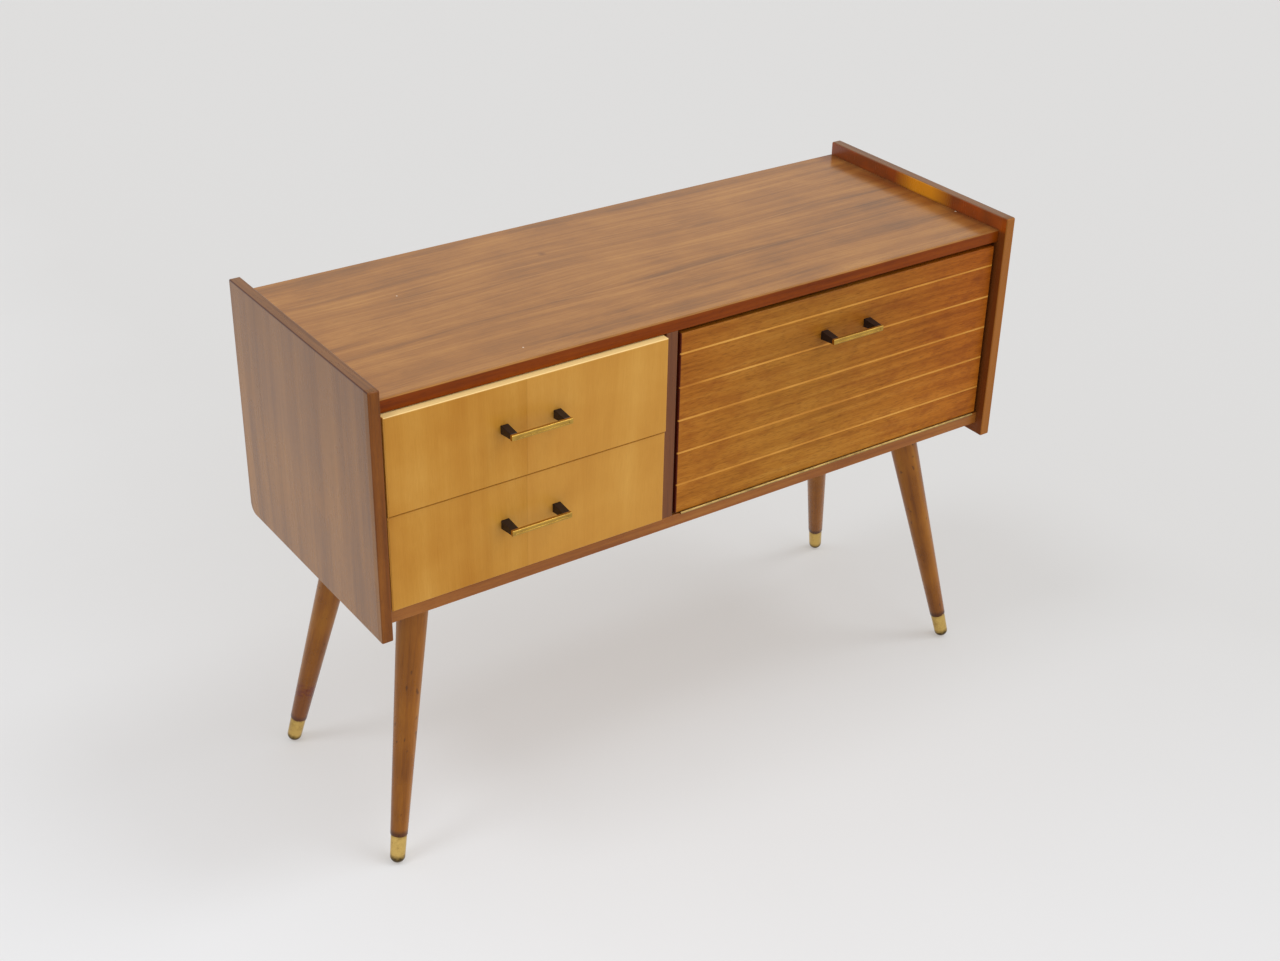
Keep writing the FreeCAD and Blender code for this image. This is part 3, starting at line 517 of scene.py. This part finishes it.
def screw_tree():
    """Slotted screws on points, each facing along the point's own direction."""
    head_sides, shank_sides = 24, 12
    slot_width, slot_depth, shank_start = 0.55, 0.9, 0.8
    tree = bpy.data.node_groups.new("slotted screws", "GeometryNodeTree")
    tree.interface.new_socket("Places", in_out="INPUT", socket_type="NodeSocketGeometry")
    for size in ("Face Radius", "Seat Radius", "Head Height", "Shank Radius", "Shank Length"):
        tree.interface.new_socket(size, in_out="INPUT", socket_type="NodeSocketFloat")
    tree.interface.new_socket("Seed", in_out="INPUT", socket_type="NodeSocketInt")
    tree.interface.new_socket("Finish", in_out="INPUT", socket_type="NodeSocketMaterial")
    tree.interface.new_socket("Screws", in_out="OUTPUT", socket_type="NodeSocketGeometry")
    entry = tree.nodes.new("NodeGroupInput")
    given = {socket.name: Socket(socket) for socket in entry.outputs if socket.name}
    places = given["Places"]
    head = places.node("GeometryNodeMeshCone", {}, {
        "Vertices": head_sides,
        "Radius Top": given["Face Radius"],
        "Radius Bottom": given["Seat Radius"],
        "Depth": given["Head Height"],
    })
    sunk = places.node("ShaderNodeCombineXYZ", {}, {"Z": 0 - given["Head Height"]})
    head = places.node("GeometryNodeTransform", {}, {"Geometry": head, "Translation": sunk})
    slot_size = places.node("ShaderNodeCombineXYZ", {}, {
        "X": given["Seat Radius"] * 4 + given["Face Radius"] * 4,
        "Y": given["Shank Radius"] * slot_width,
        "Z": given["Head Height"] * slot_depth,
    })
    slot = places.node("GeometryNodeMeshCube", {}, {"Size": slot_size})
    cut = {"Mesh 1": head, "Mesh 2": slot}
    head = places.node("GeometryNodeMeshBoolean", {"operation": "DIFFERENCE"}, cut)
    shank = places.node("GeometryNodeMeshCylinder", {}, {
        "Vertices": shank_sides,
        "Radius": given["Shank Radius"],
        "Depth": given["Shank Length"],
    })
    drop = 0 - given["Head Height"] * shank_start - given["Shank Length"] * 0.5
    drop = places.node("ShaderNodeCombineXYZ", {}, {"Z": drop})
    shank = places.node("GeometryNodeTransform", {}, {"Geometry": shank, "Translation": drop})
    screw = places.node("GeometryNodeJoinGeometry", {}, {"Geometry": [head, shank]})
    vector = {"data_type": "FLOAT_VECTOR"}
    facing = places.node("GeometryNodeInputNamedAttribute", vector, {"Name": "facing"})
    upright = places.node("FunctionNodeAlignRotationToVector", {"axis": "Z"}, {"Vector": facing})
    placed = places.node("GeometryNodeInstanceOnPoints", {}, {
        "Points": places,
        "Instance": screw,
        "Rotation": upright,
    })
    low, high, seed, number = 2, 3, 8, 1
    chance = {low: 0.0, high: math.pi, seed: given["Seed"]}
    turn = places.node("FunctionNodeRandomValue", {"data_type": "FLOAT"}, chance, output=number)
    turn = places.node("ShaderNodeCombineXYZ", {}, {"Z": turn})
    turn = places.node("FunctionNodeEulerToRotation", {}, {"Euler": turn})
    driven = places.node("GeometryNodeRotateInstances", {}, {"Instances": placed, "Rotation": turn})
    real = places.node("GeometryNodeRealizeInstances", {}, {"Geometry": driven})
    done = places.node("GeometryNodeSetMaterial", {}, {"Geometry": real, "Material": given["Finish"]})
    result = tree.nodes.new("NodeGroupOutput")
    tree.links.new(done.socket, result.inputs["Screws"])
    return tree


slotted_screws = screw_tree()


def drive_screws(node, body, material, slot, face, seat, head, shank, length):
    """Replace a CAD node of screws by slotted ones of the given radii, head height and shank length."""
    places = [head_of(points) for points in loose_parts(node)]
    # In order of place, so that every run turns each slot the same way
    places.sort(key=lambda place: tuple(round(c, 4) for c in place[0]))
    mesh = bpy.data.meshes.new(node + "_places")
    mesh.from_pydata([point for point, facing in places], [], [])
    direction = mesh.attributes.new("facing", "FLOAT_VECTOR", "POINT")
    for item, (point, facing) in zip(direction.data, places):
        item.vector = facing
    piece = bpy.data.objects.new("slotted_" + node, mesh)
    bpy.context.scene.collection.objects.link(piece)
    driver = piece.modifiers.new("screws", "NODES")
    driver.node_group = slotted_screws
    sizes = {
        "Face Radius": face, "Seat Radius": seat, "Head Height": head, "Shank Radius": shank,
        "Shank Length": length, "Seed": len(node), "Finish": material,
    }
    for item in slotted_screws.interface.items_tree:
        if item.name in sizes:
            driver[item.identifier] = sizes[item.name]
    evaluated = piece.evaluated_get(bpy.context.evaluated_depsgraph_get())
    plain = bpy.data.meshes.new_from_object(evaluated)
    piece.modifiers.clear()
    piece.data = plain
    plain.name = piece.name
    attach(piece, body)
    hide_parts(node)


steel = metal("zinc steel", srgb(172, 170, 166), srgb(98, 84, 70), rough=0.4, spots=0.6)
flush = {"face": 0.0026, "seat": 0.0014, "head": 0.0012, "shank": 0.0014}
drive_screws("runner_screws", "carcass", steel, "steel", length=0.0105, **flush)

# Leg plates: pressed steel plates with an angled boss, screwed under the bottom at each corner.
# A threaded bolt in each leg's head turns into the boss and holds the leg at its splay.
wear(["leg_plates", "leg_bolts"], steel)
soften(["leg_plates"], 0.0004)
raised = {"face": 0.0022, "seat": 0.0034, "head": 0.0018, "shank": 0.0014}
drive_screws("leg_plate_screws", "carcass", steel, "steel", length=0.0105, **raised)


# Legs: hardwood turned to a long taper, stained brown and varnished, with grain along the leg.
# A scuffed ring near the foot of the back left leg shows where something has rubbed against it.
def turning_axis(node):
    """The middle and upward direction of a turned CAD node, from the symmetry of its rings."""
    corners = {tuple(round(c, 6) for c in vert.co) for vert in nodes[node].data.vertices}
    points = np.array(sorted(corners))
    middle = points.mean(axis=0)
    upward = np.linalg.svd(points - middle)[2][0]
    return Vector(middle), Vector(upward * np.sign(upward[2]))


def lathe(name, outline, foot, upward, shift, material):
    """Turn (radius, height) points about a leg's axis, and keep each point's place on the leg."""
    sides = 48
    across = upward.orthogonal().normalized()
    beside = upward.cross(across)
    solid = bmesh.new()
    turned = solid.verts.layers.float_vector.new("turning")
    rings = []
    for radius, height in outline:
        ring = []
        for step in range(sides):
            angle = 2 * math.pi * step / sides
            local = Vector((radius * math.cos(angle), radius * math.sin(angle), height))
            point = foot + across * local.x + beside * local.y + upward * local.z
            point.z = max(point.z, 0.0)
            vert = solid.verts.new(point)
            vert[turned] = local + shift
            ring.append(vert)
        rings.append(ring)
    solid.faces.new(rings[0])
    solid.faces.new(rings[-1])
    for low, high in zip(rings, rings[1:]):
        for step in range(sides):
            solid.faces.new((low[step - 1], low[step], high[step], high[step - 1]))
    bmesh.ops.recalc_face_normals(solid, faces=solid.faces)
    for face in solid.faces:
        face.smooth = True
    mesh = bpy.data.meshes.new(name)
    solid.to_mesh(mesh)
    solid.free()
    mesh.set_sharp_from_angle(angle=sharp_edge)
    mesh.materials.append(material)
    piece = bpy.data.objects.new(name, mesh)
    bpy.context.scene.collection.objects.link(piece)
    return piece


ferrule_end, ferrule_dome, foot_flat, rim_slack = 0.0080, 0.0045, 0.00025, 0.0005
dome_radius = (ferrule_end**2 + ferrule_dome**2) / (2 * ferrule_dome)
leg_corners = [end + "_" + hand for end in ("front", "back") for hand in hands]
leg_spacing = 0.5
turnings, leg_sizes, ferrule_sizes = {}, {}, {}
for index, corner in enumerate(leg_corners):
    middle, upward = turning_axis(corner + "_leg")
    foot = middle + upward * ((dome_radius - foot_flat - middle.z) / upward.z)
    rings = []
    for node in (corner + "_leg", corner + "_ferrule"):
        heights = [(vert.co - foot).dot(upward) for vert in nodes[node].data.vertices]
        offsets = [((vert.co - foot).cross(upward)).length for vert in nodes[node].data.vertices]
        rings.append(list(zip(heights, offsets)))
    head = max(height for height, radius in rings[0])
    rim = max(height for height, radius in rings[1])
    leg_radius = max(radius for height, radius in rings[0])
    leg_end = max(radius for height, radius in rings[0] if abs(height - rim) < rim_slack)
    rim_radius = max(radius for height, radius in rings[1])
    turnings[corner] = (foot, upward, Vector((leg_spacing * index, 0, 0)))
    leg_sizes[corner] = (rim, leg_end, head, leg_radius)
    ferrule_sizes[corner] = (rim, rim_radius)


def leg_marks(place, colour):
    """A dark rim above the ferrule, dents along the leg, and the scuffed ring of the back left leg."""
    rim_top, rim_bottom = 0.031, 0.0262
    ring_bottom, ring_top = 0.054, 0.08
    height, lengthwise = place.along(Z), place.along(X)
    colour = (height.between(rim_top, rim_bottom) * 0.75).tint(colour, srgb(58, 26, 12))
    dents = place.noise((0.005, 0.005, 0.009), detail=0.0).between(0.77, 0.82)
    colour = (dents * 0.6).tint(colour, srgb(66, 34, 14))
    number = leg_corners.index("back_left")
    start, stop = leg_spacing * (number - 0.5), leg_spacing * (number + 0.5)
    on_leg = lengthwise.between(start, start + 0.01) * lengthwise.between(stop, stop - 0.01)
    ring = height.between(ring_bottom, ring_bottom + 0.008) * height.between(ring_top, ring_top - 0.007)
    ring = ring * on_leg
    patchy = place.noise((0.006, 0.006, 0.003), detail=3.0).between(0.35, 0.6)
    colour = (height.between(ring_top, 0.06) * on_leg * 0.3).tint(colour, srgb(110, 52, 28))
    return (ring * patchy * 0.75).tint(colour, srgb(104, 40, 26))


leg_tones = (srgb(104, 54, 5), srgb(143, 85, 14), srgb(164, 106, 26))
leg_wood = wood(
    "leg wood", Z, leg_tones, rough=0.28, gloss=0.26, attribute="turning", touch=leg_marks,
    figure=0.012, drift=0.01, contrast=1.7, flecks=0.2, clouds=0.5, lines=0.15,
)
round_off = 0.0008
for corner, (rim, leg_end, head, leg_radius) in leg_sizes.items():
    outline = [
        (leg_end - round_off, rim),
        (leg_end - 0.3 * round_off, rim + 0.3 * round_off),
        (leg_end, rim + round_off),
        (leg_radius, head - round_off),
        (leg_radius - round_off, head),
    ]
    leg = lathe(corner + "_turned_leg", outline, *turnings[corner], leg_wood)
    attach(leg, "carcass")
    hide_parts(corner + "_leg")


# Ferrules: tapered brass cups with a domed end, pressed over the spigots of the feet.
# Their rims and worn ends have gone dark, and the rest is dull and a little blotchy.
def ferrule_marks(place, colour):
    """Dark tarnish under the rim and on the worn end."""
    foot_top, foot_bottom = 0.005, -0.001
    rim_bottom, rim_top = 0.0225, 0.0285
    height = place.along(Z) + place.noise((0.004, 0.004, 0.004), detail=2.0) * 0.006
    colour = (height.between(foot_top, foot_bottom) * 0.9).tint(colour, srgb(46, 34, 16))
    return (height.between(rim_bottom, rim_top) * 0.6).tint(colour, srgb(104, 68, 30))


ferrule_brass = metal(
    "ferrule brass", srgb(214, 180, 104), srgb(140, 106, 48), rough=0.2, spots=0.65,
    attribute="turning", touch=ferrule_marks,
)
ferrule_wall, lip = 0.0008, 0.0004
dome_steps, dome_height = 12, 0.0075
shoulder = dome_height - dome_radius
end_drop = math.sqrt(dome_radius**2 - ferrule_end**2)
turns = [math.pi / 2 * step / dome_steps for step in range(1, dome_steps + 1)]
for corner, (rim, rim_radius) in ferrule_sizes.items():
    taper = (rim_radius - ferrule_end) / (rim + end_drop)
    shoulder_radius = rim_radius - taper * (rim - shoulder)
    outline = [(shoulder_radius * math.sin(t), shoulder - dome_height * math.cos(t)) for t in turns]
    outline += [
        (rim_radius, rim - lip),
        (rim_radius - lip, rim),
        (rim_radius - ferrule_wall, rim),
        (rim_radius - ferrule_wall, rim - 4 * lip),
    ]
    cup = lathe(corner + "_brass_cup", outline, *turnings[corner], ferrule_brass)
    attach(cup, "carcass")
    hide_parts(corner + "_ferrule")


# Drawer fronts: boards faced with honey-coloured maple veneer, grain upright, proud of the carcass.
# The veneer is pieced from two leaves; the upper front's bare top edge is pale with a painted highlight,
# and the lower front's top edge is darkened with painted shade.
def front_marks(place, colour):
    """Two leaves of veneer and the joint between them, painted highlight and shade on the upper edges,
    and a painted highlight on the left end.
    """
    x_joint, seam_width = -0.233, 0.0009
    across, height = place.along(X), place.along(Z)
    side = across.between(x_joint - 0.0002, x_joint + 0.0002)
    colour = (side * 0.16).tint(colour, srgb(222, 168, 84))
    seam = across.between(x_joint - seam_width, x_joint)
    seam = seam * across.between(x_joint + seam_width, x_joint)
    colour = (seam * 0.25).tint(colour, srgb(150, 96, 30))
    # Painted light: a pale highlight on the upper front's top edge, and painted shade on the lower
    # front's, in the gap under the upper front.
    for level, bare in (("upper", srgb(246, 214, 146)), ("lower", srgb(168, 114, 36))):
        z_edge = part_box(level + "_drawer_front")[1][2]
        edge = height.between(z_edge - 0.0008, z_edge - 0.0004)
        edge = edge * height.between(z_edge + 0.0012, z_edge + 0.0006)
        colour = (edge * 0.9).tint(colour, bare)
    # Painted highlight on the left end edge of each front, where it stands proud.
    (x_end, y_face, _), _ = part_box("upper_drawer_front")
    end = across.between(x_end + 0.0009, x_end + 0.0005)
    end = end * place.along(Y).between(y_face + 0.009, y_face + 0.004)
    return (end * 0.7).tint(colour, srgb(248, 188, 88))


honey_tones = (srgb(174, 114, 30), srgb(188, 132, 48), srgb(201, 149, 66))
honey_wood = wood(
    "drawer veneer", Z, honey_tones, rough=0.34, gloss=0.18, touch=front_marks,
    figure=0.03, drift=0.05, contrast=1.5, flecks=0.1, clouds=0.5, lines=0.12,
)
fronts = [level + "_drawer_front" for level in levels]
wear(fronts, honey_wood)
soften(fronts, 0.0004)

# Drawer boxes: bare beech sides, lap-dovetailed into the fronts and grooved for the runners.
# A beech back stands in housings of the sides, over a thin plywood bottom that slides in from behind.
beech_across = wood("beech across", X, beech_tones, rough=0.6, gloss=0.25, **beech_drawing)
for level in levels:
    box_sides = [level + "_drawer_" + hand + "_side" for hand in hands]
    wear(box_sides, beech)
    wear([level + "_drawer_back"], beech_across)
    wear([level + "_drawer_bottom"], ply)
    soften(box_sides + [level + "_drawer_back"], 0.0004)


# Handles: a flat brass bar with a shallow groove, pinned on two tapered black posts of moulded plastic.
# Each post is held by a slotted steel screw that comes through the board from behind.
def moulded(name, colour, rough):
    """Moulded plastic with a faint orange-peel skin and paler, rubbed arrises."""
    material, surface, place = new_finish(name)
    cloud = place.noise((0.008, 0.008, 0.008), detail=3.0)
    skin = place.noise((0.0012, 0.0012, 0.0012), detail=2.0)
    bump = place.node("ShaderNodeBump", {}, {"Strength": 0.15, "Distance": 0.0001, "Height": skin})
    rubbed = arris(place, 0.0008) * cloud.between(0.35, 0.65)
    dress(
        surface,
        Base_Color=(cloud * 0.3 + rubbed * 0.5).tint(colour, times(colour, 3.0)),
        Roughness=rough + (cloud - 0.5) * 0.2,
        Normal=bump,
        Specular_IOR_Level=0.3,
    )
    return material


black = moulded("black posts", srgb(27, 17, 15), rough=0.4)
bar_brass = metal(
    "bar brass", srgb(186, 148, 68), srgb(134, 99, 38), rough=0.3, spots=0.7,
    brushed=(0.02, 0.0006, 0.0006),
)
stout = {"face": 0.0029, "seat": 0.0040, "head": 0.0022, "shank": 0.0020}
for owner, body in (("upper", "upper_drawer"), ("lower", "lower_drawer"), ("flap", "flap")):
    wear([owner + "_handle_bar"], bar_brass)
    wear([owner + "_handle_posts"], black)
    soften([owner + "_handle_bar"], 0.00025)
    soften([owner + "_handle_posts"], 0.0011, segments=3)
    drive_screws(owner + "_handle_screws", body, steel, "steel", length=0.020, **stout)

# Piano hinge: two brass leaves along the flap's lower edge, with knuckles rolled round one pin.
# One leaf is screwed to the bottom board and one to the flap, with flush slotted screws.
hinge_brass = metal(
    "hinge brass", srgb(186, 158, 98), srgb(112, 82, 38), rough=0.4, spots=0.8,
    brushed=(0.012, 0.0006, 0.0006),
)
wear(["hinge_fixed_leaf", "hinge_moving_leaf", "hinge_pin"], hinge_brass)
soften(["hinge_fixed_leaf", "hinge_moving_leaf"], 0.0002, sharpest=math.radians(20))
hinge_screw_length = 0.0075
drive_screws(
    "hinge_fixed_screws", "carcass", hinge_brass, "brass", length=hinge_screw_length, **flush
)


# Flap: a board faced with straight-grained, flecked veneer, with five light lines let into its face.
# It hangs on the piano hinge, and the veneer is redder towards its right end.
def flap_marks(place, colour):
    """Darker high up and redder at both ends, with reddish clouds and red-brown end edges."""
    (x_left, _, z_low), (x_right, _, z_high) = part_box("flap_panel")
    across = place.along(X)
    redness = across.between(x_left + 0.2, x_right) + across.between(x_left + 0.12, x_left) * 0.4
    height = place.along(Z).between(z_low, z_high)
    colour = height.multiply(colour, (0.86, 0.82, 0.86, 1.0))
    colour = redness.multiply(colour, (1.0, 0.74, 0.5, 1.0))
    colour = (redness * height).multiply(colour, (1.0, 0.86, 0.6, 1.0))
    patches = place.noise((0.03, 0.03, 0.014), detail=4.0, roughness=0.65).between(0.48, 0.72)
    colour = (patches * (redness * 0.4 + 0.35)).tint(colour, srgb(126, 60, 12))
    edge = across.between(x_left + 0.0012, x_left + 0.0006)
    edge = edge + across.between(x_right - 0.0012, x_right - 0.0006)
    return edge.tint(colour, srgb(92, 34, 18))


flap_tones = (srgb(127, 73, 15), srgb(170, 111, 34), srgb(188, 132, 52))
flap_wood = wood(
    "flap veneer", X, flap_tones, rough=0.36, gloss=0.1, touch=flap_marks,
    figure=0.007, drift=0.012, contrast=1.4, flecks=0.5, clouds=0.3, lines=0.3,
)
inlay_tones = (srgb(172, 106, 30), srgb(196, 132, 48), srgb(212, 154, 70))
inlay_wood = wood(
    "inlay lines", X, inlay_tones, rough=0.36, gloss=0.15,
    figure=0.01, drift=0.004, contrast=2.2, flecks=0.15, clouds=0.6,
)
wear(["flap_panel"], flap_wood)
wear(["flap_inlays"], inlay_wood)
drive_screws("hinge_moving_screws", "flap", hinge_brass, "brass", length=hinge_screw_length, **flush)

# Catch: a magnet between two steel pole plates in a brown plastic housing, fixed under the top.
# A thin steel strike plate on the flap's inner face meets it when the flap is shut.
brown = moulded("catch plastic", srgb(70, 44, 30), rough=0.5)
wear(["catch_housing"], brown)
wear(["catch_magnet", "strike_plate"], steel)
soften(["catch_housing"], 0.0006)
soften(["strike_plate"], 0.0003)

# Stay: a stamped, slotted brass bar between the flap and the right side.
# It turns on a rivet of the flap's bracket, and its slot runs along a stud driven into the side.
# The slot's end stops the flap when it lies level.
wear(["stay_bar", "stay_bracket", "stay_stud"], bar_brass)
soften(["stay_bar", "stay_bracket", "stay_stud"], 0.0003)

# Floor: one flat sheet of pale paper that fills the camera's view.
# It is only the stage, and takes the soft shadow under the cabinet.
# It glows a little, so that the shadow stays faint.
floor_reach = 300.0
corners = ((-1, -1), (1, -1), (1, 1), (-1, 1))
floor_corners = [(x * floor_reach, y * floor_reach, 0.0) for x, y in corners]
floor_mesh = bpy.data.meshes.new("floor")
floor_mesh.from_pydata(floor_corners, [], [(0, 1, 2, 3)])
floor = bpy.data.objects.new("floor", floor_mesh)
bpy.context.scene.collection.objects.link(floor)
paper, surface, place = new_finish("floor paper")
mottle = place.noise((0.5, 0.5, 0.5), detail=3.0)
# Painted light: the paper is made paler towards the front and towards the left, over a faint random
# mottle.
nearer = place.along(Y).between(0.6, -1.2)
rightward = place.along(X).between(-0.6, 0.9)
mottle_and_painted_light = mottle * 0.2 + nearer - rightward * 0.9 + 0.2
dress(
    surface,
    Base_Color=mottle_and_painted_light.tint(srgb(157, 162, 166), srgb(188, 194, 201)),
    Roughness=0.8,
    Specular_IOR_Level=0.1,
    Emission_Color=srgb(255, 245, 235),
    Emission_Strength=0.365,
)
floor_mesh.materials.append(paper)

# Light: an even pale room, two soft lights high on the left and the right, and one low at the right.
# The high ones put the shadow under the cabinet, and the low one fills its front.
room = bpy.data.worlds.new("room")
room.use_nodes = True
air = room.node_tree.nodes["Background"]
dress(air, Color=srgb(254, 254, 255), Strength=0.6)
bpy.context.scene.world = room
bpy.context.scene.view_settings.view_transform = "Standard"


def soft_light(name, turned, raised, width, strength):
    """A far, wide light: turned to the right of the front and raised above the floor, in degrees."""
    lamp = bpy.data.lights.new(name, "SUN")
    lamp.energy = strength
    lamp.angle = math.radians(width)
    holder = bpy.data.objects.new(name, lamp)
    holder.rotation_euler = (math.radians(90 - raised), 0, math.radians(turned))
    bpy.context.scene.collection.objects.link(holder)


soft_light("high left", turned=-100, raised=62, width=18, strength=0.55)
soft_light("high right", turned=65, raised=62, width=18, strength=0.55)
soft_light("low right", turned=37, raised=24, width=80, strength=1.3)

# Camera: the photograph's view from the front left, looking down at the cabinet.
# Its place, turn and focal length were solved from the cabinet's own corners in the photograph.
image_width = 1280
focal_pixels = 1834.75
yaw, pitch, roll = 0.6151, 0.5178, 0.0220
viewpoint = (-1.0389, -1.46825, 1.3109)
lens = bpy.data.cameras.new("camera")
lens.sensor_width = 36.0
lens.lens = focal_pixels * lens.sensor_width / image_width
camera = bpy.data.objects.new("camera", lens)
aside = Matrix.Rotation(-yaw, 4, "Z")
downward = Matrix.Rotation(math.pi / 2 - pitch, 4, "X")
tilt = Matrix.Rotation(roll, 4, "Z")
camera.matrix_world = Matrix.Translation(viewpoint) @ (aside @ downward @ tilt)
bpy.context.scene.collection.objects.link(camera)
bpy.context.scene.camera = camera
